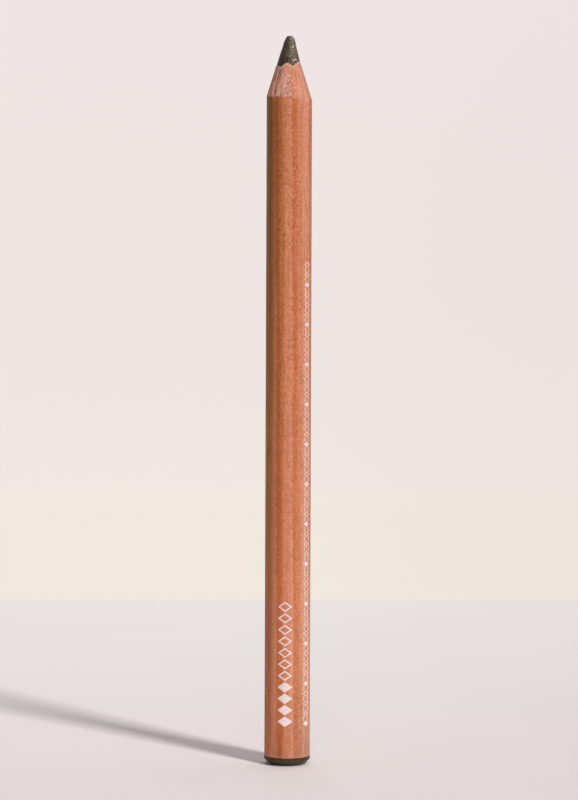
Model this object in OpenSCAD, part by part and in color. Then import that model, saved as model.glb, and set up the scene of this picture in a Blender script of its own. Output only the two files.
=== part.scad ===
// Wooden eyeliner pencil, standing on its lacquered end with its point up.
// Two grooved half barrels are glued round a soft pigment core, turned round,
// sharpened to a cone, and dipped in lacquer at the other end.
// Millimetres. The origin is the middle of the standing end, +Z runs to the tip,
// and the glue joint of the two halves lies in the XZ plane.

/* [Barrel] */
// Diameter of the round wooden barrel
barrel_d = 7.8; // [7:0.1:12]
// Length of the pencil, from its standing end to its tip
pencil_len = 124.8; // [80:0.1:180]

/* [Pigment core] */
// Diameter of the pigment core
core_d = 4; // [2.5:0.1:4.5]
// Length of core that stands out of the wooden cone
bare_len = 4.6; // [3.5:0.1:8]
// Sideways shift of the core and its groove from the barrel axis
core_shift = -0.2; // [-0.4:0.05:0.4]
// Glue film between the core and the groove
glue_film = 0.03; // [0.01:0.01:0.1]

/* [Sharpened cone] */
// Half angle of the wooden cone, in degrees
cone_angle = 17.3; // [13:0.1:24]
// Shift of the sharpener's axis to the right of the barrel axis
cut_right = -0.14; // [-0.3:0.01:0.3]
// Shift of the sharpener's axis to the back of the barrel axis
cut_back = 0.07; // [-0.3:0.01:0.3]

/* [Worn point] */
// How much narrower the soft core is than the wooden rim around it
rim_wear = 0.06; // [0.02:0.01:0.15]
// Radius of the point's bulging side
ogive_r = 55; // [30:1:200]
// Radius of the flat on the blunt tip
tip_flat_r = 0.33; // [0.1:0.01:0.6]
// Rounding round the flat on the blunt tip
tip_edge_r = 0.35; // [0.1:0.01:0.5]
// Lean of the worn point to the right, in degrees
point_lean = 1.95; // [-4:0.05:4]

/* [Dipped end] */
// Leg of the 45 degree chamfer on the wooden end
end_chamfer = 0.9; // [0.4:0.05:1.4]
// Height of the lacquer band on the side, above the chamfer
dip_band = 0.3; // [0.2:0.05:6]
// Lacquer thickness on the side
dip_film = 0.05; // [0.03:0.01:0.15]
// Lacquer thickness under the end
dip_base = 0.25; // [0.1:0.01:0.4]
// Width of the soft bevel on both sides of the standing rim
dip_rim = 0.1; // [0.04:0.01:0.2]

/* [Hidden] */

$fn = 96;
ogive_fn = 720;

barrel_r = barrel_d / 2;
core_r = core_d / 2;
wood_z = dip_base;
rim_z = pencil_len - bare_len;
apex_z = rim_z + core_r / tan(cone_angle);
point_skirt = 2;

// The blank before sharpening, a chamfered bar seen in half section
module blank_section() {
    polygon([
        [0, wood_z],
        [barrel_r - end_chamfer, wood_z],
        [barrel_r, wood_z + end_chamfer],
        [barrel_r, pencil_len],
        [0, pencil_len]
    ]);
}

// The cone that the sharpener leaves, a little off the barrel axis
module sharpened_envelope() {
    translate([cut_right, cut_back, 0])
        cylinder(h = apex_z, r1 = apex_z * tan(cone_angle), r2 = 0);
}

// The round channel that the two grooves make together
module core_channel() {
    translate([core_shift, 0, 0])
        cylinder(h = pencil_len, r = core_r + glue_film);
}

// One glued half of the barrel, on the front (-1) or the back (1) of the joint
module casing_half(side) {
    difference() {
        intersection() {
            rotate_extrude() blank_section();
            sharpened_envelope();
            translate([-barrel_d, side > 0 ? 0 : -barrel_d, 0])
                cube([2 * barrel_d, barrel_d, pencil_len]);
        }
        core_channel();
    }
}

// Centre of the bulging side's arc, which starts at the worn rim and ends
// tangent to the rounding of the tip
function ogive_centre(start, edge, r, edge_r) =
    let (
        along = edge - start,
        gap = norm(along),
        inner = r - edge_r,
        a = (gap * gap + r * r - inner * inner) / (2 * gap),
        off = sqrt(r * r - a * a),
        dir = along / gap
    )
    start + a * dir + off * [-dir[1], dir[0]];

// The worn point in half section, with its start at the wooden rim
module point_section() {
    lift = tip_flat_r * sin(abs(point_lean));
    start = [core_r - rim_wear, 0];
    edge = [tip_flat_r, (bare_len - tip_edge_r - lift) / cos(point_lean)];
    centre = ogive_centre(start, edge, ogive_r, tip_edge_r);
    meet = centre + ogive_r * (edge - centre) / norm(edge - centre);
    intersection() {
        translate(centre) circle(r = ogive_r, $fn = ogive_fn);
        translate([0, -point_skirt]) square([core_d, point_skirt + meet[1]]);
    }
    intersection() {
        translate(edge) circle(r = tip_edge_r);
        square([core_d, bare_len]);
    }
    square([tip_flat_r, edge[1] + tip_edge_r]);
}

// What the sharpener and use have left of the core, leaning a little
module worn_point() {
    translate([cut_right, cut_back, rim_z])
        rotate([0, point_lean, 0])
            rotate_extrude() point_section();
}

module casing_half_front() {
    color("#c98458") casing_half(-1);
}

module casing_half_back() {
    color("#bd7a50") casing_half(1);
}

module pigment_core() {
    straight_top = rim_z - point_skirt / 2;
    color("#4b4432") {
        translate([core_shift, 0, wood_z])
            cylinder(h = straight_top - wood_z, r = core_r);
        intersection() {
            translate([core_shift, 0, straight_top])
                cylinder(h = pencil_len, r = core_r);
            worn_point();
        }
    }
}

// The finished end in half section, with its standing rim softened by a bevel
module dip_section() {
    outer_r = barrel_r + dip_film;
    top_z = wood_z + end_chamfer + dip_band;
    corner_r = barrel_r - end_chamfer;
    difference() {
        polygon([
            [0, 0],
            [corner_r - dip_rim, 0],
            [corner_r + dip_rim * cos(45), dip_rim * sin(45)],
            [outer_r, outer_r - corner_r],
            [outer_r, top_z],
            [0, top_z]
        ]);
        blank_section();
    }
}

module end_dip() {
    color("#3b3025") rotate_extrude() dip_section();
}

casing_half_front();
casing_half_back();
pigment_core();
end_dip();
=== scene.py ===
from math import atan2, copysign, cos, degrees, pi, radians, sin, sqrt, tan

import bmesh
import bpy
from mathutils import Matrix, Vector, noise


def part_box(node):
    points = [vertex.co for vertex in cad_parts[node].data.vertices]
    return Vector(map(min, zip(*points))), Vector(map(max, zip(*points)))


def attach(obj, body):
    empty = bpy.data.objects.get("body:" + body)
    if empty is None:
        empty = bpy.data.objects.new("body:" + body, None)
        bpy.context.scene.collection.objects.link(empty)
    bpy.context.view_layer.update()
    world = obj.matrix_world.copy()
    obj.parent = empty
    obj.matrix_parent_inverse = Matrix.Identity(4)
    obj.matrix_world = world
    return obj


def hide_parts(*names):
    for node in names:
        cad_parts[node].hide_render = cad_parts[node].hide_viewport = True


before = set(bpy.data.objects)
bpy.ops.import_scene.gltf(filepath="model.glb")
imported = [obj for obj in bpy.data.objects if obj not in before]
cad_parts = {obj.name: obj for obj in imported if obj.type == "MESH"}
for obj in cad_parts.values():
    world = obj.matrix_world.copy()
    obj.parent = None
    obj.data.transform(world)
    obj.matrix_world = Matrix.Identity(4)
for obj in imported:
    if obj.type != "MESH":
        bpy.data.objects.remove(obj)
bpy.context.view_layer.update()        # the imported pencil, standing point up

mm = 0.001
fullTurn = 2 * pi
mergeDistance = 0.0005 * mm
jointReach = 0.001  # nearer than this to the joint, in metres, a spun vertex lies on it
scene = bpy.context.scene
print("frame loaded:", sorted(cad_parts))

# sizes that the pieces share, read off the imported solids
woodLow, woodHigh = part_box("casing_half_front")
coreLow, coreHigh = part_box("pigment_core")
dipLow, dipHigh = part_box("end_dip")
barrelRadius = woodHigh.x
woodFoot = woodLow.z
coreRadius = (coreHigh.x - coreLow.x) / 2
coreAxis = Vector(((coreHigh.x + coreLow.x) / 2, 0, 0))
tipHeight = coreHigh.z

cut = {
    "halfAngle": radians(17.3),
    "axis": Vector((-0.115, 0.07, 0)) * mm,  # the sharpener ran a little off the barrel's axis
    "bareCore": 4.6 * mm,
    "rimWear": 0.05 * mm,  # the wood stands this much proud of the soft core
    "skirt": 0.25 * mm,  # how far the core smears out over the broken rim
    "skirtTop": 0.95 * mm,  # how far under the rim's level it is widest, and begins
    "skirtFoot": 1.45 * mm,
    # where the wood climbs over the core: degrees from the front, rise in millimetres, half width in degrees
    "scallops": (
        (-85, 0.43, 60), (-7, 0.71, 29), (60, 0.64, 39),
        (112, 0.6, 30), (164, 0.72, 28), (220, 0.66, 32),
    ),
    "scallopFoot": -0.76 * mm,
    "ragged": ((11, 0.16), (18, 0.26)),  # how fast the rim wanders round the core, and by how much
}
coneSlope = tan(cut["halfAngle"])
rimLevel = tipHeight - cut["bareCore"]
apexHeight = rimLevel + coreRadius / coneSlope


def between(low, high, share):
    return low + (high - low) * share


def smoothShare(low, high, value):
    share = min(max((value - low) / (high - low), 0), 1)
    return share * share * (3 - 2 * share)


def outward(angle):
    return Vector((cos(angle), sin(angle), 0))


def upTo(height):
    return Vector((0, 0, height))


def turnFrom(place, angle):
    # degrees round the barrel from a place that is itself given in degrees from the front
    return (degrees(angle) + 90 - place + 180) % 360 - 180


def coneReach(centre, around, height):
    # how far the sharpened cone lies from a centre in one direction
    offset = centre - cut["axis"]
    coneRadius = (apexHeight - height) * coneSlope
    along = offset.dot(around)
    return sqrt(coneRadius ** 2 - offset.length_squared + along ** 2) - along


def coneHeight(place):
    # how high the sharpened cone passes over a place
    return apexHeight - (place - cut["axis"]).length / coneSlope


def shoulderHeight(angle):
    return coneHeight(barrelRadius * outward(angle))


def rimHeight(angle):
    # the wooden edge against the core: arches with sharp notches between them
    around = outward(angle)
    rise = 0
    for direction, height, halfWidth in cut["scallops"]:
        rise = max(rise, height * (1 - (turnFrom(direction, angle) / halfWidth) ** 2))
    ragged = sum(height * noise.noise(pace * around) for pace, height in cut["ragged"])
    return coneHeight(coreAxis + coreRadius * around) + cut["scallopFoot"] + (rise + ragged) * mm


def coreReach(angle, height):
    # radius of the core from its own axis, up to the worn point
    worn = coneReach(coreAxis, outward(angle), height) - cut["rimWear"]
    foot = rimLevel - cut["skirtFoot"]
    top = rimLevel - cut["skirtTop"]
    return min(worn, coreRadius + cut["skirt"] * smoothShare(foot, top, height))


# small helpers for meshes

def spinStrand(made, strand, turn, steps, closedRing=False):
    edges = [made.edges.new(pair) for pair in zip(strand, strand[1:])]
    if closedRing:
        edges.append(made.edges.new((strand[-1], strand[0])))
    bmesh.ops.spin(made, geom=strand + edges, cent=(0, 0, 0), axis=(0, 0, 1), dvec=(0, 0, 0),
                   angle=turn, steps=steps, use_merge=turn == fullTurn, use_duplicate=False)


def spinRows(rows, startAngle, turn, steps, closedRing):
    # spins one strand of vertices round Z and keeps each vertex's row number
    made = bmesh.new()
    rowLayer = made.verts.layers.int.new("row")
    rimLayer = made.verts.layers.float.new("fromRim")
    strand = []
    for number in range(len(rows)):
        vert = made.verts.new(Matrix.Rotation(startAngle, 3, "Z") @ Vector((1 + number, 0, 0)))
        vert[rowLayer] = number
        strand.append(vert)
    spinStrand(made, strand, turn, steps, closedRing)
    return made, rowLayer, rimLayer


def closePoles(made):
    bmesh.ops.remove_doubles(made, verts=made.verts, dist=mergeDistance)
    bmesh.ops.recalc_face_normals(made, faces=made.faces)


def toPiece(made, name, material, smooth=True):
    data = bpy.data.meshes.new(name)
    made.to_mesh(data)
    made.free()
    for face in data.polygons:
        face.use_smooth = smooth
    data.materials.append(material)
    piece = bpy.data.objects.new(name, data)
    scene.collection.objects.link(piece)
    return piece


# small helpers for shader nodes

midway = 0.5  # of a value that runs from 0 to 1
crispShare = 0.6  # share of a small spot's radius inside its soft edge
softShare = 0.3  # the same for a large one


def isLink(value):
    return isinstance(value, bpy.types.NodeSocket)


def feed(node, sockets):
    # links what comes from another node and sets the rest
    for name, value in sockets.items():
        if isLink(value):
            node.id_data.links.new(value, node.inputs[name])
        else:
            node.inputs[name].default_value = value


def newNode(tree, kind, **settings):
    made = tree.nodes.new("ShaderNode" + kind)
    for name, value in settings.items():
        setattr(made, name, value)
    return made


def addNode(kind, sockets, **settings):
    # the new node goes into the tree that its links come from
    made = newNode(next(filter(isLink, sockets.values())).id_data, kind, **settings)
    feed(made, sockets)
    return made


def calc(operation, *values):
    return addNode("Math", dict(enumerate(values)), operation=operation).outputs[0]


def plus(total, *others):
    for other in others:
        total = calc("ADD", total, other)
    return total


def minus(value, taken):
    return calc("SUBTRACT", value, taken)


def times(product, *others):
    for other in others:
        product = calc("MULTIPLY", product, other)
    return product


def centred(value):
    return minus(value, midway)


def distanceFrom(place, value):
    return calc("ABSOLUTE", minus(value, place))


def vectorCalc(operation, *values, output="Vector"):
    return addNode("VectorMath", dict(enumerate(values)), operation=operation).outputs[output]


def scaled(vector, amount):
    return addNode("VectorMath", {0: vector, "Scale": amount}, operation="SCALE").outputs[0]


def axesOf(vector):
    return addNode("SeparateXYZ", {0: vector}).outputs


def sideAndLevel(vector):
    axes = axesOf(vector)
    return axes["X"], axes["Z"]


def remap(value, fromLow, fromHigh, toLow=0, toHigh=1, interpolation="SMOOTHSTEP"):
    sockets = {"Value": value, "From Min": fromLow, "From Max": fromHigh, "To Min": toLow, "To Max": toHigh}
    return addNode("MapRange", sockets, interpolation_type=interpolation).outputs[0]


def mixValue(share, first, second):
    return addNode("Mix", {0: share, 2: first, 3: second}).outputs[0]


def mixColor(share, first, second, mode="MIX"):
    return addNode("Mix", {0: share, 6: first, 7: second}, data_type="RGBA", blend_type=mode).outputs[2]


def layered(color, layer, *masks, mode="MIX"):
    # lays a second colour on the first, as strongly as all the masks let it
    return mixColor(times(*masks), color, layer, mode)


def shaded(color, brightness):
    gray = addNode("CombineColor", {0: brightness, 1: brightness, 2: brightness}).outputs[0]
    return mixColor(1, color, gray, "MULTIPLY")


def tintedBy(color, tint, amount):
    # adds a tint where the amount is over 0 and takes it away where it is under
    return vectorCalc("ADD", color, scaled(tint, amount))


def rampOf(value, stops):
    # a colour ramp from 0 to 1, with a place and a colour for each stop
    ramp = addNode("ValToRGB", {"Fac": value})
    elements = ramp.color_ramp.elements
    for place, color in stops[1:-1]:
        elements.new(place).color = color
    elements[0].color, elements[-1].color = stops[0][1], stops[-1][1]
    return ramp.outputs[0]


def stretched(vector, stretch):
    return addNode("Mapping", {"Vector": vector, "Scale": stretch}).outputs[0]


def noiseOf(vector, stretch, detail, roughness):
    place = stretched(vector, stretch)
    sockets = {"Vector": place, "Scale": 1, "Detail": detail, "Roughness": roughness}
    return addNode("TexNoise", sockets).outputs[0]


def slopeFibres(vector, stretch, detail, roughness):
    # upright lines that the sharpened slope can't break up, because only direction and height place them
    fromAxis = vectorCalc("SUBTRACT", vector, cut["axis"] / mm)
    around = vectorCalc("NORMALIZE", stretched(fromAxis, (1, 1, 0)))
    place = vectorCalc("ADD", around, stretched(vector, (0, 0, 1)))
    return noiseOf(place, stretch, detail, roughness)


def fromRimOf(vector):
    # how many millimetres off the wooden rim, as the meshes store it
    return newNode(vector.id_data, "Attribute", attribute_name="fromRim").outputs["Fac"]


def rareSpots(vector, perMm, rarity, radius):
    # round spots in a few of the cells of a lattice
    cells = addNode("TexVoronoi", {"Vector": vector, "Scale": perMm}).outputs
    pick = addNode("SeparateColor", {0: cells["Color"]}).outputs[0]
    spot = remap(cells["Distance"], radius * crispShare, radius, 1, 0)
    return times(calc("GREATER_THAN", pick, rarity), spot)


def spotAt(vector, side, level, radius):
    # a soft round spot, placed as it is seen from the front
    flat = stretched(vector, (1, 0, 1))
    away = vectorCalc("DISTANCE", flat, (side, 0, level), output="Value")
    return remap(away, radius * softShare, radius, 1, 0)


def openGroup(name, inputs, outputs):
    # takes a name and a kind for each socket
    tree = bpy.data.node_groups.new(name, "ShaderNodeTree")
    for way, sockets in (("INPUT", inputs), ("OUTPUT", outputs)):
        for label, kind in sockets.items():
            tree.interface.new_socket(label, in_out=way, socket_type="NodeSocket" + kind)
    return tree, tree.nodes.new("NodeGroupInput").outputs, tree.nodes.new("NodeGroupOutput")


def useGroup(group, sockets):
    return addNode("Group", sockets, node_tree=group).outputs


def openMaterial(name):
    material = bpy.data.materials.new(name)
    material.use_nodes = True
    tree = material.node_tree
    coords = newNode(tree, "TexCoord").outputs["Object"]
    inMm = stretched(coords, (1 / mm, 1 / mm, 1 / mm))
    return material, tree.nodes["Principled BSDF"], inMm


def skinOf(vector, size):
    return useGroup(filmSkin, {"Vector": vector, "Grain": size})["Height"]


def bumped(height, depth):
    # height is in millimetres, and depth scales it
    return addNode("Bump", {"Height": height, "Strength": 1, "Distance": depth * mm}).outputs[0]


# In the dictionaries of looks, a name that ends in Pattern holds a noise: how often it changes in
# a millimetre to the right, to the back and upwards, then its detail and roughness. A plain row of four
# is a smooth change: where it begins and ends, and the value at each.
grain = {
    # across one growth ring: the place, and how pale the wood is there
    "ring": (
        (0, 0.35), (0.05, 0.05), (0.12, 0), (0.32, 0.28), (0.5, 0.58),
        (0.65, 0.8), (0.85, 1), (0.96, 0.95), (1, 0.35),
    ),
    "swayPattern": ((0.22, 0.22, 0.018), 1, 0.5),
    "swayWidth": 0.3,
    "wanderPattern": ((0.5, 0.5, 0.16), 3, 0.6),
    "wanderWidth": 0.55,
    # fibres, veins, patches and waves: the pattern, the part of its range that counts, and how much it shades
    "shading": (
        (((7, 7, 0.12), 3, 0.6), (0.3, 0.7), 0.07),
        (((2.2, 2.2, 0.03), 2, 0.5), (0.3, 0.7), 0.07),
        (((1.1, 1.1, 0.35), 3, 0.5), (0.3, 0.7), 0.05),
        (((1.7, 1.7, 1.5), 3, 0.6), (0.25, 0.75), 0.1),
    ),
    # specks: fine grain with painted glints of the varnish, fainter on the shaded left
    "speckPattern": ((4.3, 4.3, 3.2), 3, 0.6),
    "speckTint": (0.42, 0.35, 0.25),
    "speckPatchPattern": ((0.4, 0.4, 0.1), 1, 0.5),
    "speckPatches": (0.35, 0.6, 0.45, 1),
    "speckLevels": (20, 110, 0.65, 1.3),
    "speckSides": (-2.6, -1.2, 0.35, 1),
}


# cedar: growth rings that start dark and pale towards the next one, with fine upright fibres
def makeCedarGrain():
    inputs = {
        "Vector": "Vector", "Across": "Vector", "Pitch": "Float", "Shift": "Float",
        "Pale": "Color", "Dark": "Color", "Contrast": "Float", "SpeckAndGlint": "Float",
    }
    tree, given, out = openGroup("cedarGrain", inputs, {"Color": "Color"})
    place = given["Vector"]
    across = vectorCalc("DOT_PRODUCT", place, given["Across"], output="Value")
    sway = times(centred(noiseOf(place, *grain["swayPattern"])), grain["swayWidth"])
    wander = times(centred(noiseOf(place, *grain["wanderPattern"])), grain["wanderWidth"])
    moved = plus(across, given["Shift"], sway, wander)
    share = calc("FRACT", calc("DIVIDE", moved, given["Pitch"]))
    ring = rampOf(share, [(stop, (pale, pale, pale, 1)) for stop, pale in grain["ring"]])
    paleness = plus(times(centred(ring), given["Contrast"]), midway)
    color = mixColor(paleness, given["Dark"], given["Pale"])

    brightness = 1
    for pattern, (low, high), amount in grain["shading"]:
        shade = remap(noiseOf(place, *pattern), low, high, -amount, amount)
        brightness = plus(brightness, shade)
    color = shaded(color, brightness)

    # painted glints mixed with fine grain: specks are strongest in patches, towards the point and away from
    # the shaded left edge
    axes = axesOf(place)
    speckPatch = remap(noiseOf(place, *grain["speckPatchPattern"]), *grain["speckPatches"])
    upward = remap(axes["Z"], *grain["speckLevels"])
    sideways = remap(axes["X"], *grain["speckSides"])
    amount = times(speckPatch, upward, sideways, given["SpeckAndGlint"])
    speckAndGlint = times(centred(noiseOf(place, *grain["speckPattern"])), amount)
    feed(out, {"Color": tintedBy(color, grain["speckTint"], speckAndGlint)})
    return tree


tear = {
    "edgePattern": ((4.4, 4.4, 0.5), 4, 0.7),
    "depths": (0.4, 0.68, 0, 1),
    "bareStrip": 0.07,  # bare wood reaches at least this far under the shoulder
    "fringe": (-0.35, -0.02, 0, 1),
}


# how much of the varnish is left near the sharpened shoulder, where the blade tore it
def makeVarnishEdge():
    inputs = {
        "Vector": "Vector", "Axis": "Vector", "Apex": "Float", "Slope": "Float",
        "Tear": "Float", "Softness": "Float",
    }
    tree, given, out = openGroup("varnishEdge", inputs, {"Varnish": "Float", "Fringe": "Float"})
    offset = vectorCalc("SUBTRACT", given["Vector"], given["Axis"])
    reach = vectorCalc("LENGTH", stretched(offset, (1, 1, 0)), output="Value")
    coneTop = minus(given["Apex"], calc("DIVIDE", reach, given["Slope"]))
    below = minus(coneTop, axesOf(given["Vector"])["Z"])
    torn = remap(noiseOf(given["Vector"], *tear["edgePattern"]), *tear["depths"])
    past = minus(below, plus(times(torn, given["Tear"]), tear["bareStrip"]))
    shown = plus(calc("DIVIDE", past, given["Softness"]), midway)
    feed(out, {"Varnish": remap(shown, 0, 1), "Fringe": remap(past, *tear["fringe"])})
    return tree


# grit, long strokes and ripples in a brushed film: the pattern, and its share of the height
filmWaves = (
    (((3.2, 3.2, 3.2), 3, 0.6), 1),
    (((2.5, 2.5, 0.35), 2, 0.5), 0.7),
    (((0.8, 0.8, 3.5), 2, 0.5), 0.5),
)


# the broken-up gloss of a thin brushed film
def makeFilmSkin():
    inputs = {"Vector": "Vector", "Grain": "Float"}
    tree, given, out = openGroup("filmSkin", inputs, {"Height": "Float"})
    sized = scaled(given["Vector"], given["Grain"])
    height = 0
    for pattern, share in filmWaves:
        height = plus(height, times(noiseOf(sized, *pattern), share))
    feed(out, {"Height": height})
    return tree


cedarGrain = makeCedarGrain()
varnishEdge = makeVarnishEdge()
filmSkin = makeFilmSkin()

cedar = {
    "ringPitch": 2.83,
    # each half's way across its growth rings, and how many millimetres they are moved
    "frontRings": ((1, 0, 0.0058), 1.72),
    "backRings": ((-0.93, 0.36, 0.011), 0.7),
    "pale": (0.645, 0.243, 0.138, 1),
    "dark": (0.50, 0.140, 0.050, 1),
    "darkRight": (0.52, 0.150, 0.068, 1),
    "darkSides": (-1.6, 0.2, 0, 1),
    "contrast": 1,
    "speckAndGlint": 1.1,
    # tints over the varnish: colour, then where each begins and is full, across and upwards
    "tints": (
        # the first two rows are painted shade: they darken and dull the left side, more towards the top
        ((0.68, 0.64, 0.60, 1), (-1.6, -3.4), (25, 110)),
        ((1.02, 1.05, 0.58, 1), (-1.6, -3.4), (8, 55)),
        ((0.95, 1.08, 1.16, 1), (-1, 1), (70, 10)),
        ((0.96, 1.07, 1.10, 1), (0.9, 1.9), (-2, -1)),
        ((0.98, 0.98, 0.90, 1), (2, 0.5), (55, 100)),
    ),
    "inFront": (-1.4, 1.0, 1, 0.25),
    "glint": (0.95, 0.62, 0.44, 1),
    # every row of spots: cells in a millimetre, how rare a spot is, and its radius in cells
    "glintSpots": (1.5, 0.8, 0.16),
    "glintStrength": 0.35,
    "scratch": (0.82, 0.78, 0.76, 1),  # a fine line across the front
    "scratchLevel": 63.1,
    "scratchWidth": (0.03, 0.1, 1, 0),
    "scratchLeft": (-0.9, -0.5, 0, 1),
    "scratchRight": (2.1, 2.6, 1, 0),
    "footLevels": (3, 20),  # the foot is darker, apart from its left edge
    "footSides": (-3.2, -1.2, 1.02, 0.89),
    # painted highlight: a pink glow on the wood just above the dip
    "footHighlight": (1.3, 2.4, 0.3, 0),
    "tear": 0.3,
    "tearSoftness": (-0.8, 1.6, 0.05, 0.7),
    "roughness": (0.8, 0.4),  # raw, and varnished
    "reflection": (1, 0.72, 0.5, 1),
    "specular": 0.1,
    "skinDepth": 0.03,
    "skinLift": 0.02,
}

# the raw cone, whose flank runs from -1 at its left edge to 1 at its right
cone = {
    "pale": (0.60, 0.262, 0.180, 1),
    "dark": (0.50, 0.190, 0.120, 1),
    "contrast": 0.6,
    "speckAndGlint": 0.9,
    "pink": (0.60, 0.335, 0.28, 1),
    "pinkPattern": ((0.7, 0.7, 0.45), 3, 0.5),
    "pinkPatches": (0.42, 0.6, 0.05, 0.6),
    "pinkFlanks": (-0.8, 0.5, 1, 0.45),
    "pinkMiddle": (0, 0.25, 0.5, 1),
    "fuzzPattern": ((3.6, 3.6, 2.8), 4, 0.72),
    "fuzzShade": (0.32, 0.7, -0.07, 0.08),
    "fuzzShare": 0.25,
    "strandPattern": ((26, 26, 0.42), 3, 0.65),  # counted round the cone, and in a millimetre upwards
    "strandShade": (-1.9, -0.9, 7, 1.12),  # torn fibres are strongest on the left
    "toothSides": (-2.8, -1.8, 0.7, 0.1),
    "toothStrands": (0.42, 0.6, 0.3, 1.2),
    # painted shade: a dark band runs up the cone here
    "bandFlank": -0.6,  # a dark band runs up here
    "band": (0, 0.3, 0.9, 1.04),
    "middle": (0, 0.25, 0.9, 1),
    "leftEdge": (-1, -0.7, 1.2, 1),
    "rightEdge": (0.65, 0.95, 1, 0.8),
    "rise": (115.4, 118.6, 0.92, 1.07),  # brighter towards the core, on the left
    "riseFlanks": (-0.1, 0.4, 1, 0),
    "lavender": (0.62, 0.35, 0.38, 1),
    "lavenderSpot": (-1.2, 114.9, 0.8),  # side, level and radius
    "lavenderStrength": 0.3,
    # painted glints, then red and dark flecks: colour, how fast the cells change upwards, the row of spots,
    # the strength
    "flecks": (
        ((0.95, 0.62, 0.44, 1), 1, (3.4, 0.86, 0.3), 0.5),
        ((0.66, 0.16, 0.10, 1), 1, (1.6, 0.88, 0.34), 0.35),
        ((0.30, 0.16, 0.12, 1), 0.4, (3.2, 0.84, 0.26), 0.3),
    ),
    "sparkPattern": ((3.6, 3.6, 1.5), 2, 0.6),
    "sparkTint": (0.42, 0.35, 0.27),
    "sparkSides": (0.3, 1.4, 1.7, 0.34),
    "sparkFlanks": (-0.5, -0.15, 0.15, 1.25),
    "smear": (0.30, 0.16, 0.12, 1),
    "smearReach": (0.1, 1.0, 1, 0),  # down from the rim, as are the broken fibres
    "smearPatches": (0.42, 0.7, 0.1, 0.7),
    "smearSides": (-1.2, 0.2, 1, 0.4),
    "broken": (0.60, 0.45, 0.36, 1),
    "brokenReach": (0.35, 0.65, 0.12, 0.6),
    "brokenStrength": 0.6,
    "depth": 0.04,
}


def grainOf(rings, look, dark):
    own = {"Pale": look["pale"], "Dark": dark, "Contrast": look["contrast"], "SpeckAndGlint": look["speckAndGlint"]}
    return useGroup(cedarGrain, {**rings, **own})["Color"]


def varnishedWood(inMm, rings):
    side, back, level = axesOf(inMm)
    dark = layered(cedar["dark"], cedar["darkRight"], remap(side, *cedar["darkSides"]))
    color = grainOf(rings, cedar, dark)
    inFront = remap(back, *cedar["inFront"])
    # the first tints are painted shade on the left side
    for tint, sides, levels in cedar["tints"]:
        sideways = remap(side, *sides)
        upward = remap(level, *levels, interpolation="LINEAR")
        color = layered(color, tint, sideways, upward, inFront, mode="MULTIPLY")
    glints = rareSpots(inMm, *cedar["glintSpots"])
    color = layered(color, cedar["glint"], glints, cedar["glintStrength"])
    line = remap(distanceFrom(cedar["scratchLevel"], level), *cedar["scratchWidth"])
    left = remap(side, *cedar["scratchLeft"])
    right = remap(side, *cedar["scratchRight"])
    color = layered(color, cedar["scratch"], line, left, right, inFront, mode="MULTIPLY")
    atFoot = remap(side, *cedar["footSides"])
    color = shaded(color, remap(level, *cedar["footLevels"], atFoot, 1))
    # painted highlight: a pink glow just above the dip
    return layered(color, cone["pink"], remap(level, *cedar["footHighlight"]))


def rawBrightness(side, level, flank, fringe, fuzz, strand):
    # torn fibres, teeth of varnish along the shoulder, and painted shade for how the cone turns from the
    # light
    streak = times(centred(strand), remap(side, *cone["strandShade"]))
    teeth = times(remap(side, *cone["toothSides"]), remap(strand, *cone["toothStrands"]), fringe)
    fibres = plus(1, streak, remap(fuzz, *cone["fuzzShade"]), teeth)
    band = remap(distanceFrom(cone["bandFlank"], flank), *cone["band"])
    middle = remap(distanceFrom(0, flank), *cone["middle"])
    leftEdge = remap(flank, *cone["leftEdge"])
    rightEdge = remap(flank, *cone["rightEdge"])
    onLeft = remap(flank, *cone["riseFlanks"])
    rise = mixValue(onLeft, 1, remap(level, *cone["rise"], "LINEAR"))
    return times(fibres, band, middle, leftEdge, rightEdge, rise)


def rawWood(inMm, rings, fringe, fuzz, strand):
    side, level = sideAndLevel(inMm)
    half = times(minus(apexHeight / mm, level), coneSlope)
    flank = calc("DIVIDE", side, half)
    color = grainOf(rings, cone, cone["dark"])
    bloom = remap(noiseOf(inMm, *cone["pinkPattern"]), *cone["pinkPatches"])
    color = layered(color, cone["pink"], bloom, remap(flank, *cone["pinkFlanks"]),
                    remap(distanceFrom(0, flank), *cone["pinkMiddle"]))
    color = shaded(color, rawBrightness(side, level, flank, fringe, fuzz, strand))
    lavender = spotAt(inMm, *cone["lavenderSpot"])
    color = layered(color, cone["lavender"], lavender, cone["lavenderStrength"])
    # the first flecks are painted glints
    for fleck, upright, spots, strength in cone["flecks"]:
        shown = rareSpots(stretched(inMm, (1, 1, upright)), *spots)
        color = layered(color, fleck, shown, strength)
    spark = times(centred(noiseOf(inMm, *cone["sparkPattern"])),
                  remap(side, *cone["sparkSides"]), remap(flank, *cone["sparkFlanks"]))
    color = tintedBy(color, cone["sparkTint"], spark)

    # pigment smeared down from the core, and pale broken fibres at the rim itself
    fromRim = fromRimOf(inMm)
    color = layered(color, cone["smear"], remap(fromRim, *cone["smearReach"]),
                    remap(fuzz, *cone["smearPatches"]), remap(side, *cone["smearSides"]))
    broken = calc("LESS_THAN", fromRim, remap(fuzz, *cone["brokenReach"]))
    return layered(color, cone["broken"], broken, cone["brokenStrength"])


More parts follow.
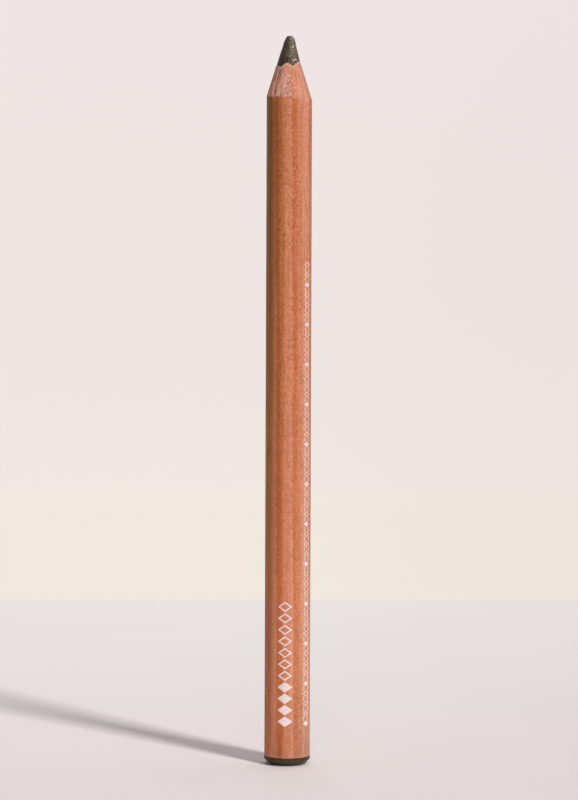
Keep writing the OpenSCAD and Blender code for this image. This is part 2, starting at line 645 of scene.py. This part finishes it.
def makeCedar(name, across, shift):
    material, shader, inMm = openMaterial(name)
    rings = {"Vector": inMm, "Across": across, "Pitch": cedar["ringPitch"], "Shift": shift}
    softness = remap(axesOf(inMm)["X"], *cedar["tearSoftness"])
    film = useGroup(varnishEdge, {
        "Vector": inMm, "Axis": cut["axis"] / mm, "Apex": apexHeight / mm, "Slope": coneSlope,
        "Tear": cedar["tear"], "Softness": softness,
    })
    fuzz = noiseOf(inMm, *cone["fuzzPattern"])
    strand = slopeFibres(inMm, *cone["strandPattern"])
    raw = rawWood(inMm, rings, film["Fringe"], fuzz, strand)
    coated = varnishedWood(inMm, rings)
    lifted = plus(times(skinOf(inMm, 1), cedar["skinDepth"]), cedar["skinLift"])
    torn = times(plus(times(fuzz, cone["fuzzShare"]), strand), cone["depth"])
    feed(shader, {
        "Base Color": mixColor(film["Varnish"], raw, coated),
        "Roughness": remap(film["Varnish"], 0, 1, *cedar["roughness"], "LINEAR"),
        "Specular IOR Level": cedar["specular"],
        "Specular Tint": cedar["reflection"],
        "Normal": bumped(mixValue(film["Varnish"], torn, lifted), 1),
    })
    return material


frontCedar = makeCedar("frontCedar", *cedar["frontRings"])
backCedar = makeCedar("backCedar", *cedar["backRings"])
print("cedar ready")

# the two glued halves of the barrel, with their grooves for the core
casing = {
    "columns": 176,
    "barrelRows": 40,
    "barrelSpread": 0.7,  # under 1 sets the rows closer towards the point
    "coneRows": 120,
    "chamfer": 0.9 * mm,
    "lipDepth": 1.4 * mm,
    "lipRows": 16,
    "grooveGap": 0.015 * mm,
    "jointGap": 0.004 * mm,
    "seamDepth": 0.035 * mm,
    "fibresAround": 24,
    "fibresUp": 0.42,  # changes in a millimetre, as is the next
    "tearsUp": -0.7,
    "fibreShare": 0.6,
    "fibreHeight": 0.014 * mm,
    "tornHeight": 0.05 * mm,
    "tornPlace": -42,  # in degrees from the front, as is the width
    "tornWidth": 30,
    "fadeIn": 0.06,  # shares of the way up the cone
    "fadeOut": 0.97,
    "sharpFrom": radians(50),
}


def casingRows():
    rows = [("foot", 0), ("foot", 1)]
    for kind, first, spread in (("barrel", 0, casing["barrelSpread"]), ("cone", 1, 1), ("lip", 0, 1)):
        count = casing[kind + "Rows"]
        rows += [(kind, (number / count) ** spread) for number in range(first, count + 1)]
    return rows


def fibreOffset(point, share, angle):
    # fine fibres all round the cone, torn higher on one side
    torn = noise.noise(point / mm + upTo(point.z / mm * casing["tearsUp"]))
    fine = noise.noise(casing["fibresAround"] * outward(angle) + upTo(point.z / mm * casing["fibresUp"]))
    fade = smoothShare(0, casing["fadeIn"], share) * smoothShare(1, casing["fadeOut"], share)
    nearTorn = smoothShare(casing["tornWidth"], 0, abs(turnFrom(casing["tornPlace"], angle)))
    depth = between(casing["fibreHeight"], casing["tornHeight"], nearTorn)
    return depth * fade * between(torn, fine, casing["fibreShare"])


def casingPoint(kind, share, angle):
    around = outward(angle)
    if kind == "foot":
        if share == 0:
            return coreAxis + (coreRadius + casing["grooveGap"]) * around + upTo(woodFoot)
        return (barrelRadius - casing["chamfer"]) * around + upTo(woodFoot)
    if kind == "barrel":
        height = between(woodFoot + casing["chamfer"], shoulderHeight(angle), share)
        return barrelRadius * around + upTo(height)
    if kind == "cone":
        height = between(shoulderHeight(angle), rimHeight(angle), share)
        centre = coreAxis * share
        point = centre + coneReach(centre, around, height) * around + upTo(height)
        return point + fibreOffset(point, share, angle) * around
    height = rimHeight(angle) - share * casing["lipDepth"]
    reach = coreReach(angle, height) + casing["grooveGap"]
    return coreAxis + reach * around + upTo(height)


def makeCasing(name, node, side, material):
    rows = casingRows()
    startAngle = 0 if side > 0 else pi
    made, rowLayer, rimLayer = spinRows(rows, startAngle, pi, casing["columns"], True)
    for vert in made.verts:
        kind, share = rows[vert[rowLayer]]
        angle = atan2(vert.co.y, vert.co.x)
        onJoint = abs(vert.co.y) < jointReach  # the spun rows still lie a whole unit apart here
        vert.co = casingPoint(kind, share, angle)
        vert[rimLayer] = abs(rimHeight(angle) - vert.co.z) / mm if kind != "lip" else 0
        if onJoint:
            vert.co.y = side * casing["jointGap"] / 2
            if kind == "barrel" or kind == "cone" and share < 1:
                vert.co.x -= copysign(casing["seamDepth"], vert.co.x)
    openEdges = [edge for edge in made.edges if edge.is_boundary]
    bmesh.ops.holes_fill(made, edges=openEdges, sides=0)
    bmesh.ops.recalc_face_normals(made, faces=made.faces)
    for edge in made.edges:
        edge.smooth = edge.is_manifold and edge.calc_face_angle() < casing["sharpFrom"]
    piece = toPiece(made, name, material)
    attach(piece, "root")
    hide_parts(node)


makeCasing("barrel_front", "casing_half_front", -1, frontCedar)
makeCasing("barrel_back", "casing_half_back", 1, backCedar)
print("barrel halves made")

# the soft core, worn to a leaning blunt point
core = {
    "columns": 224,
    "skirtRows": 28,
    "pointRows": 96,
    "roundRows": 8,
    "capRows": 5,
    "skirtFoot": 1.5 * mm,
    "skirtBend": 4,
    "wearFrom": 0.5,  # share of the way up the skirt
    "ogiveRadius": 55 * mm,
    "tipFlat": 0.33 * mm,
    "tipRound": 0.35 * mm,
    "rimWear": 0.06 * mm,
    "lean": radians(1.95),
    "shift": 0.025 * mm,
    "facet": 0.035 * mm,
    "facetsAround": 1.6,
    "facetsUp": 0.25,
    "crumb": 0.02 * mm,
    "crumbsPerMm": 4.5,
    "crumbNoise": (0.7, 2.0, 3),  # roughness, step and number of octaves
    "crumbAtRim": 1.8,  # how many times as high crumbs are at the rim, and above it
    "crumbAbove": 0.6,
    "crumbReach": 1.4 * mm,
    "bulge": 0.07 * mm,
    "bulgeLevel": 3.75 * mm,
    "bulgeReach": 0.9 * mm,
    "ridge": 0.05 * mm,
    "ridgePlace": 33,  # in degrees from the front, as are the widths
    "ridgeWidths": (24, 10),
    "ridgeLevel": 0.34 * mm,
    "ridgeReach": 0.17 * mm,
    "roundedLeft": 0.14 * mm,  # use has taken this much off the tip's left
    "roundedReach": 0.7 * mm,
    "roundedMost": 1.2,
    "roundedLevels": (3.3 * mm, 4.5 * mm),
}


def pointProfile():
    # the bulging side's arc, and where it meets the rounding of the tip
    lift = core["tipFlat"] * sin(core["lean"])
    edgeLevel = (cut["bareCore"] - core["tipRound"] - lift) / cos(core["lean"])
    start = Vector((coreRadius - core["rimWear"], 0))
    edge = Vector((core["tipFlat"], edgeLevel))
    along = edge - start
    gap = along.length
    big, small = core["ogiveRadius"], core["ogiveRadius"] - core["tipRound"]
    first = (gap * gap + big * big - small * small) / (2 * gap)
    side = sqrt(big * big - first * first)
    heading = along / gap
    centre = start + first * heading + side * Vector((-heading.y, heading.x))
    meet = centre + big * (edge - centre).normalized()
    return centre, edge, meet


arcCentre, tipEdge, arcMeet = pointProfile()


def coreRows():
    rows = [("foot", 0), ("foot", 1)]
    for kind in ("skirt", "point", "round", "cap"):
        count = core[kind + "Rows"]
        rows += [(kind, number / count) for number in range(count)]
    return rows + [("cap", 1)]


def leaning(reach, level, around):
    tilted = Matrix.Rotation(core["lean"], 3, "Y") @ (reach * around + upTo(level))
    return cut["axis"] + Vector((core["shift"], 0, rimLevel)) + tilted


def corePoint(kind, share, angle):
    around = outward(angle)
    if kind == "foot":
        return coreAxis + share * coreRadius * around + upTo(woodFoot)
    if kind == "skirt":
        height = between(rimLevel - core["skirtFoot"], rimLevel, share)
        point = coreAxis + coreReach(angle, height) * around + upTo(height)
        last = leaning(coreRadius - core["rimWear"], 0, around)
        return point.lerp(last, share ** core["skirtBend"])
    if kind == "point":
        level = share * arcMeet.y
        reach = arcCentre.x + sqrt(core["ogiveRadius"] ** 2 - (level - arcCentre.y) ** 2)
        return leaning(reach, level, around)
    if kind == "round":
        first = atan2(arcMeet.y - tipEdge.y, arcMeet.x - tipEdge.x)
        bend = between(first, pi / 2, share)
        return leaning(tipEdge.x + core["tipRound"] * cos(bend),
                       tipEdge.y + core["tipRound"] * sin(bend), around)
    return leaning(core["tipFlat"] * (1 - share), tipEdge.y + core["tipRound"], around)


def wornOffset(point, angle, level):
    # flats left by use, crumbs near the broken rim, a low bulge and a ridge
    flats = noise.noise(core["facetsAround"] * outward(angle) + upTo(level / mm * core["facetsUp"]))
    crumbs = noise.fractal(point / mm * core["crumbsPerMm"], *core["crumbNoise"])
    crumbSize = between(core["crumbAtRim"], core["crumbAbove"], smoothShare(0, core["crumbReach"], level))
    bulge = core["bulge"] * smoothShare(core["bulgeReach"], 0, abs(level - core["bulgeLevel"]))
    sideways = smoothShare(*core["ridgeWidths"], abs(turnFrom(core["ridgePlace"], angle)))
    upward = smoothShare(core["ridgeReach"], 0, abs(level - core["ridgeLevel"]))
    ridge = core["ridge"] * sideways * upward
    return core["facet"] * flats + core["crumb"] * crumbs * crumbSize + bulge + ridge


def wearShare(kind, share):
    # wear fades in up the skirt, and out towards the middle of the flat tip
    if kind == "skirt":
        return smoothShare(core["wearFrom"], 1, share)
    if kind == "cap":
        return 1 - share
    return 0 if kind == "foot" else 1


def roundedOff(point, level):
    # how far use has lowered the left of the tip
    toLeft = max(-(point.x - cut["axis"].x) / core["roundedReach"], 0)
    amount = min(toLeft, core["roundedMost"]) ** 2
    return core["roundedLeft"] * amount * smoothShare(*core["roundedLevels"], level)


def makeCore(material):
    rows = coreRows()
    made, rowLayer, rimLayer = spinRows(rows, 0, fullTurn, core["columns"], False)
    for vert in made.verts:
        kind, share = rows[vert[rowLayer]]
        angle = atan2(vert.co.y, vert.co.x)
        point = corePoint(kind, share, angle)
        level = max(point.z - rimLevel, 0)
        point += wornOffset(point, angle, level) * wearShare(kind, share) * outward(angle)
        point.z -= roundedOff(point, level)
        point.z = min(point.z, tipHeight)
        vert.co = point
        vert[rimLayer] = (point.z - rimHeight(angle)) / mm
    closePoles(made)
    piece = toPiece(made, "core", material)
    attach(piece, "root")
    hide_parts("pigment_core")


wax = {
    "body": (0.058, 0.041, 0.022, 1),
    "green": (0.052, 0.054, 0.019, 1),
    "greenPattern": ((0.7, 0.7, 0.4), 3, 0.5),
    "greenPatches": (0.4, 0.65, 0, 1),
    "greenLevels": (0.8, 2.0, 0.1, 1),  # above the wood
    "taper": 0.27,
    "leastHalf": 0.5,
    # painted shade: the core darkens towards its left edge
    "leftEdge": (-1.0, -0.45, 0.5, 1),
    "sheen": (0.158, 0.119, 0.089, 1),  # painted sheen on the lit right flank, fading at its edge
    "smearPattern": ((3, 3, 0.8), 4, 0.6),
    "smearWidth": 0.8,
    "sheenFlanks": (-0.3, 0.55, 0, 0.95),
    "sheenRight": (0.62, 0.9, 1, 0.15),
    "mottlePattern": ((3.1, 3.1, 2.7), 3, 0.65),
    "mottle": (0.34, 0.68, 0.45, 1.5),
    "rimShades": ((0.05, 0.5, 0.2, 1), (0.4, 1.6, 0.86, 1)),  # painted shade where the wax meets the wooden rim
    "pearlAndGlint": (0.70, 0.64, 0.52, 1),
    "pearlSpots": (3.9, 0.86, 0.36),
    "pearlFlanks": (-0.3, 0.3, 0.1, 0.45),
    # painted glints seen from the front: place across, height above the wood, radius and share of pearl
    # colour
    "frontGlints": (
        (0.57, 2.61, 0.19, 1), (0.2, 2.48, 0.15, 0.5), (0.08, 0.95, 0.14, 0.5), (0.62, 0.2, 0.17, 0.7),
        (0.85, 0.25, 0.16, 0.8), (1.08, 0.34, 0.18, 1), (0.65, 4.15, 0.2, 0.3), (0.5, 2.0, 0.14, 0.35),
    ),
    "roughness": (0.3, 0.7, 0.36, 0.54),
    "pearlGloss": 0.15,
    "specular": 0.15,
    "reflection": (1, 0.9, 0.75, 1),
    "skinGrain": 1.6,
    "gritPattern": ((9, 9, 9), 3, 0.7),
    "gritShare": 0.5,
    "depth": 0.045,
}


def makeCoreWax():
    material, shader, inMm = openMaterial("coreWax")
    side, level = sideAndLevel(inMm)
    above = minus(level, rimLevel / mm)
    half = minus(coreRadius / mm, times(above, wax["taper"]))
    flank = calc("DIVIDE", side, calc("MAXIMUM", half, wax["leastHalf"]))
    patches = remap(noiseOf(inMm, *wax["greenPattern"]), *wax["greenPatches"])
    color = layered(wax["body"], wax["green"], patches, remap(above, *wax["greenLevels"]))
    # painted shade towards the left edge
    color = shaded(color, remap(flank, *wax["leftEdge"]))
    # painted sheen: a pale patchy film on the lit right flank, following the smeared flats
    smear = noiseOf(inMm, *wax["smearPattern"])
    sheenSpread = plus(flank, times(centred(smear), wax["smearWidth"]))
    color = layered(color, wax["sheen"], remap(sheenSpread, *wax["sheenFlanks"]),
                    remap(flank, *wax["sheenRight"]))
    mottle = noiseOf(inMm, *wax["mottlePattern"])
    color = shaded(color, remap(mottle, *wax["mottle"]))
    # painted shade in the crease where the wax meets the wood
    fromRim = fromRimOf(inMm)
    for shade in wax["rimShades"]:
        color = shaded(color, remap(fromRim, *shade))
    # pearl grains, fewer on the shaded left, and painted glints placed as seen from the front
    pearlAndGlint = rareSpots(inMm, *wax["pearlSpots"])
    pearlAndGlint = times(pearlAndGlint, remap(flank, *wax["pearlFlanks"]))
    for across, height, radius, share in wax["frontGlints"]:
        spot = spotAt(inMm, across, height + rimLevel / mm, radius)
        pearlAndGlint = calc("MAXIMUM", pearlAndGlint, times(spot, share))
    dull = remap(smear, *wax["roughness"])
    skin = skinOf(inMm, wax["skinGrain"])
    grit = times(noiseOf(inMm, *wax["gritPattern"]), wax["gritShare"])
    feed(shader, {
        "Base Color": mixColor(pearlAndGlint, color, wax["pearlAndGlint"]),
        "Roughness": minus(dull, times(pearlAndGlint, wax["pearlGloss"])),
        "Specular IOR Level": wax["specular"],
        "Specular Tint": wax["reflection"],
        "Normal": bumped(plus(skin, grit), wax["depth"]),
    })
    return material


makeCore(makeCoreWax())
print("core made")

# the lacquer that the end was dipped in: a thin cup with a soft wavy edge
dip = {
    "columns": 192,
    "bevel": 0.1 * mm,
    "chamferFoot": 3.0 * mm,
    "clear": 0.004 * mm,
    "cornerRound": 0.07 * mm,
    "cornerSteps": 4,
    "edgeRound": 0.02 * mm,
    "edgeSteps": 3,
    "edgeWave": 0.02 * mm,
    "waveReach": 0.2 * mm,
    "waves": ((2.2, 0.6), (7, 0.4)),  # how fast the edge wanders round the barrel, and its share
    "sharpFrom": radians(30),
}
lacquer = {
    "body": (0.060, 0.036, 0.022, 1),
    "dusty": (0.076, 0.055, 0.039, 1),
    "dustPattern": ((0.8, 0.8, 0.8), 3, 0.5),
    "dustPatches": (0.4, 0.7, 0, 0.5),
    "edge": (0.060, 0.021, 0.009, 1),  # the film's top edge, where the wood shows through
    "edgeLevels": (1.0, 1.16, 0, 1),
    "poolAndShade": (0.008, 0.008, 0.006, 1),  # near-black round the standing rim: thick lacquer and painted contact shade
    "poolAndShadeLevels": (0.25, 0.45, 1, 0),
    "poolAndShadeWave": 0.2,
    "roughness": (0.3, 0.7, 0.3, 0.44),
    "specular": 0.15,
    "skinGrain": 0.8,
    "depth": 0.025,
}


def makeDipLacquer():
    material, shader, inMm = openMaterial("dipLacquer")
    height = axesOf(inMm)["Z"]
    patch = noiseOf(inMm, *lacquer["dustPattern"])
    color = layered(lacquer["body"], lacquer["dusty"], remap(patch, *lacquer["dustPatches"]))
    color = layered(color, lacquer["edge"], remap(height, *lacquer["edgeLevels"]))
    # near-black band at the foot: pooled lacquer and painted contact shade
    wavy = plus(height, times(centred(patch), lacquer["poolAndShadeWave"]))
    feed(shader, {
        "Base Color": layered(color, lacquer["poolAndShade"], remap(wavy, *lacquer["poolAndShadeLevels"])),
        "Roughness": remap(patch, *lacquer["roughness"]),
        "Specular IOR Level": lacquer["specular"],
        "Normal": bumped(skinOf(inMm, lacquer["skinGrain"]), lacquer["depth"]),
    })
    return material


def roundRing(made, reach, level, amount, segments):
    # bevels the ring of edges at one radius and height
    ring = []
    for edge in made.edges:
        off = [abs(vert.co.xy.length - reach) + abs(vert.co.z - level) for vert in edge.verts]
        if max(off) < 2 * mergeDistance:
            ring.append(edge)
    bmesh.ops.bevel(made, geom=ring, offset=amount, segments=segments, profile=0.5,
                    affect="EDGES", material=-1)


def makeDip(material):
    outer = min(dipHigh.x, dipHigh.y, -dipLow.x, -dipLow.y)
    top = dipHigh.z
    cornerLevel = outer - dip["chamferFoot"]
    inner = barrelRadius + dip["clear"]
    innerFoot = barrelRadius - casing["chamfer"] + dip["clear"]
    half = dip["bevel"] / sqrt(2)
    profile = [
        (0, 0),
        (dip["chamferFoot"] - dip["bevel"], 0),
        (dip["chamferFoot"] + half, half),
        (outer, cornerLevel),
        (outer, top),
        (inner, top),
        (inner, woodFoot + casing["chamfer"] - dip["clear"]),
        (innerFoot, woodFoot - dip["clear"]),
        (0, woodFoot - dip["clear"]),
    ]
    made = bmesh.new()
    strand = [made.verts.new((reach, 0, level)) for reach, level in profile]
    spinStrand(made, strand, fullTurn, dip["columns"])
    closePoles(made)
    roundRing(made, outer, cornerLevel, dip["cornerRound"], dip["cornerSteps"])
    roundRing(made, outer, top, dip["edgeRound"], dip["edgeSteps"])
    waveFoot = top - dip["waveReach"]
    for vert in made.verts:
        if vert.co.z > waveFoot:
            around = outward(atan2(vert.co.y, vert.co.x))
            wave = sum(noise.noise(around * pace) * share for pace, share in dip["waves"])
            vert.co.z -= dip["edgeWave"] * (1 + wave) / 2 * smoothShare(waveFoot, top, vert.co.z)
    for edge in made.edges:
        edge.smooth = edge.calc_face_angle(0) < dip["sharpFrom"]
    piece = toPiece(made, "dip", material)
    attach(piece, "root")
    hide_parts("end_dip")


makeDip(makeDipLacquer())
print("dip made")

# pale ink: a column of lozenges, and a fine row of small marks beside it
ink = {
    "film": 0.012 * mm,
    "lift": 0.8,  # the film's middle stands off the wood by this share of it
    "color": (0.76, 0.61, 0.62, 1),
    "wearPattern": ((4, 4, 3), 4, 0.65),
    "wear": (0.58, 0.75, 0, 0.5),
    "roughness": (0.3, 0.7, 0.45, 0.6),
    # each lozenge: shares of the column's width and pitch, cells along a side, and the share that is line
    "bigPlace": radians(-96),
    "bigStart": 7.7 * mm,
    "bigAcross": 2.6 * mm,
    "bigPitch": 1.95 * mm,
    "filled": (1, 0.92, 10, 0),
    "filledCount": 4,
    "open": (0.96, 0.9, 12, 0.33),
    "openCount": 7,
    "finePlace": radians(-35.5),
    "fineStart": 7.2 * mm,
    "fineEnd": 87.2 * mm,
    "fineAcross": 1.5 * mm,
    "finePitch": 1.7 * mm,
    "fineFilled": (1, 0.6, 6, 0),
    "fineOpen": (1, 0.6, 6, 0.4),
    "filledEvery": 4,
    "ruleWidth": 0.15 * mm,
    "ruleLength": 0.45,  # share of the pitch
    "ruleSide": 0.36,  # share of the row's width
}
halfSide = sqrt(0.125)  # of a square whose diagonal is 1


def addLozenge(made, level, width, pitch, across, along, cells, openShare):
    # a square grid turned onto its corner; an open one keeps its border cells only
    verts = bmesh.ops.create_grid(made, x_segments=cells, y_segments=cells, size=halfSide)["verts"]
    if openShare:
        inside = halfSide * (1 - openShare)
        faces = {face for vert in verts for face in vert.link_faces}
        centres = [(face, face.calc_center_median()) for face in faces]
        middle = [face for face, centre in centres if max(abs(centre.x), abs(centre.y)) < inside]
        bmesh.ops.delete(made, geom=middle, context="FACES")
        verts = [vert for vert in verts if vert.is_valid]
    bmesh.ops.rotate(made, verts=verts, cent=(0, 0, 0), matrix=Matrix.Rotation(pi / 4, 3, "Z"))
    bmesh.ops.scale(made, verts=verts, vec=(width * across, pitch * along, 1))
    bmesh.ops.translate(made, verts=verts, vec=(0, level, 0))


def addRule(made, side, level):
    # a square of one unit, stretched
    verts = bmesh.ops.create_grid(made, x_segments=1, y_segments=2, size=0.5)["verts"]
    bmesh.ops.scale(made, verts=verts, vec=(ink["ruleWidth"], ink["finePitch"] * ink["ruleLength"], 1))
    bmesh.ops.translate(made, verts=verts, vec=(side, level, 0))


def wrapInk(made, place, name, material):
    # bends the flat marks round the barrel and gives the film its thickness
    for vert in made.verts:
        around = outward(place + vert.co.x / barrelRadius)
        vert.co = (barrelRadius + ink["film"] * ink["lift"]) * around + upTo(vert.co.y)
    bmesh.ops.recalc_face_normals(made, faces=made.faces)
    for face in made.faces:
        middle = face.calc_center_median()
        if face.normal.dot(Vector((middle.x, middle.y, 0))) < 0:
            face.normal_flip()
    bmesh.ops.solidify(made, geom=made.faces[:], thickness=ink["film"])
    bmesh.ops.recalc_face_normals(made, faces=made.faces)
    piece = toPiece(made, name, material, smooth=False)
    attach(piece, "root")


def makeBigMarks(material):
    made = bmesh.new()
    kinds = [ink["filled"]] * ink["filledCount"] + [ink["open"]] * ink["openCount"]
    for number, kind in enumerate(kinds):
        addLozenge(made, ink["bigStart"] + number * ink["bigPitch"], ink["bigAcross"], ink["bigPitch"], *kind)
    wrapInk(made, ink["bigPlace"], "big_marks", material)


def makeFineMarks(material):
    # small lozenges, with two short rules between each pair
    made = bmesh.new()
    count = int((ink["fineEnd"] - ink["fineStart"]) / ink["finePitch"])
    for number in range(count):
        level = ink["fineStart"] + number * ink["finePitch"]
        kind = ink["fineOpen"] if number % ink["filledEvery"] else ink["fineFilled"]
        addLozenge(made, level, ink["fineAcross"], ink["finePitch"], *kind)
        if number < count - 1:
            for side in (-1, 1):
                addRule(made, side * ink["fineAcross"] * ink["ruleSide"], level + ink["finePitch"] / 2)
    wrapInk(made, ink["finePlace"], "fine_marks", material)


def makePaleInk():
    material, shader, inMm = openMaterial("paleInk")
    thin = noiseOf(inMm, *ink["wearPattern"])
    feed(shader, {
        "Base Color": layered(ink["color"], cedar["pale"], remap(thin, *ink["wear"])),
        "Roughness": remap(thin, *ink["roughness"]),
    })
    return material


paleInk = makePaleInk()
makeBigMarks(paleInk)
makeFineMarks(paleInk)
print("ink marks made")

# the table, whose far edge shows level in the picture
table = {
    "width": 0.40,
    "depth": 0.41,
    "thickness": 0.02,
    "edgeRound": 0.8 * mm,
    "farEdge": 0.306,
    "turn": radians(2.39),
    "near": (0.696, 0.656, 0.661, 1),
    "far": (0.786, 0.776, 0.766, 1),
    "depths": (-20, 300),
    # painted shade: the top darkens towards the right
    "sides": (-30, 90, 1.01, 0.95),
    "cloudPattern": ((0.02, 0.02, 0.02), 2, 0.5),
    "cloud": (0.3, 0.7, 0.985, 1.0),
    "gritPattern": ((2.5, 2.5, 2.5), 2, 0.5),
    "grit": (0.3, 0.7, -0.006, 0.006),
    "roughness": 0.7,
}


def makeTableTop():
    material, shader, inMm = openMaterial("tableTop")
    side, back = axesOf(inMm)[:2]
    base = layered(table["near"], table["far"], remap(back, *table["depths"], interpolation="LINEAR"))
    cloud = remap(noiseOf(inMm, *table["cloudPattern"]), *table["cloud"])
    grit = remap(noiseOf(inMm, *table["gritPattern"]), *table["grit"])
    # painted shade towards the right, over the cloud and grit
    shade = times(plus(cloud, grit), remap(side, *table["sides"]))
    feed(shader, {"Base Color": shaded(base, shade), "Roughness": table["roughness"]})
    return material


def makeTable(material):
    made = bmesh.new()
    bmesh.ops.create_cube(made, size=1)
    bmesh.ops.scale(made, verts=made.verts, vec=(table["width"], table["depth"], table["thickness"]))
    bmesh.ops.translate(made, verts=made.verts,
                        vec=(0, table["farEdge"] - table["depth"] / 2, -table["thickness"] / 2))
    bmesh.ops.rotate(made, verts=made.verts, cent=(0, table["farEdge"], 0),
                     matrix=Matrix.Rotation(table["turn"], 3, "Z"))
    bmesh.ops.bevel(made, geom=made.edges[:], offset=table["edgeRound"], segments=3, profile=0.5,
                    affect="EDGES", material=-1)
    top = toPiece(made, "table", material, smooth=False)


makeTable(makeTableTop())

# a broad key lamp far off to the front right, soft lamps above, in front and behind, and a dim world
# with a pale view
keyHeading = {
    "azimuth": radians(38.2),
    "elevation": radians(39),
    "distance": 20,
}
keyPlace = keyHeading["distance"] * Vector((
    cos(keyHeading["elevation"]) * sin(keyHeading["azimuth"]),
    -cos(keyHeading["elevation"]) * cos(keyHeading["azimuth"]),
    sin(keyHeading["elevation"]),
))
lamps = {
    "keyLamp": {"place": keyPlace, "size": 2.45, "power": 3795, "color": (1, 0.985, 0.96)},
    "topLamp": {"place": (0.05, 0.15, 0.8), "size": 0.5, "power": 2.52, "color": (1, 0.935, 0.93)},
    "frontLamp": {"place": (0.0, -1.2, 0.42), "size": 0.5, "power": 3.1, "color": (1, 1, 1)},
    "backLamp": {"place": (0.1, 1.2, 0.03), "size": 0.2, "power": 8.0, "color": (1, 0.985, 0.97)},
}
room = {
    "dim": (0.03, 0.03, 0.03, 1),
    # height of the view ray, and the colour seen there
    "backdrop": (
        (-0.09, (0.879, 0.807, 0.737, 1)),
        (-0.06, (0.877, 0.806, 0.745, 1)),
        (-0.03, (0.871, 0.800, 0.760, 1)),
        (0.05, (0.855, 0.787, 0.767, 1)),
        (0.18, (0.863, 0.787, 0.780, 1)),
    ),
    "sides": (-0.02, 0.13, 1, 0.98),
}


def makeLamps():
    for name, lamp in lamps.items():
        data = bpy.data.lights.new(name, "AREA")
        data.energy = lamp["power"]
        data.size = lamp["size"]
        data.color = lamp["color"]
        made = bpy.data.objects.new(name, data)
        made.location = lamp["place"]
        made.rotation_euler = Vector(lamp["place"]).to_track_quat("Z", "Y").to_euler()
        scene.collection.objects.link(made)
        if name == "backLamp":  # fills the side that the camera doesn't see
            data.use_shadow = False
            made.visible_glossy = False


def makeRoom():
    world = bpy.data.worlds.new("paleRoom")
    scene.world = world
    world.use_nodes = True
    tree = world.node_tree
    paths = newNode(tree, "LightPath").outputs
    seen = calc("MAXIMUM", paths["Is Camera Ray"], paths["Is Glossy Ray"])
    seen = calc("MAXIMUM", seen, paths["Is Transmission Ray"])
    side, height = sideAndLevel(newNode(tree, "TexCoord").outputs["Generated"])
    low, high = room["backdrop"][0][0], room["backdrop"][-1][0]
    stops = [((level - low) / (high - low), color) for level, color in room["backdrop"]]
    backdrop = rampOf(remap(height, low, high, interpolation="LINEAR"), stops)
    backdrop = shaded(backdrop, remap(side, *room["sides"]))
    feed(tree.nodes["Background"], {"Color": mixColor(seen, room["dim"], backdrop)})


makeLamps()
makeRoom()

camera = {
    "place": (0.12 * mm, -373 * mm, 62.34 * mm),
    "lens": 97.81,
    "sensor": 36,
    "clip": (0.01, 20),
    "roll": radians(-0.21),
}


def makeCamera():
    data = bpy.data.cameras.new("photoCamera")
    data.lens = camera["lens"]
    data.sensor_width = camera["sensor"]
    data.clip_start, data.clip_end = camera["clip"]
    taken = bpy.data.objects.new("photoCamera", data)
    taken.location = camera["place"]
    taken.rotation_euler = (pi / 2, camera["roll"], 0)
    scene.collection.objects.link(taken)
    scene.camera = taken


makeCamera()
scene.view_settings.view_transform = "Standard"
print("table, lamps and camera ready")
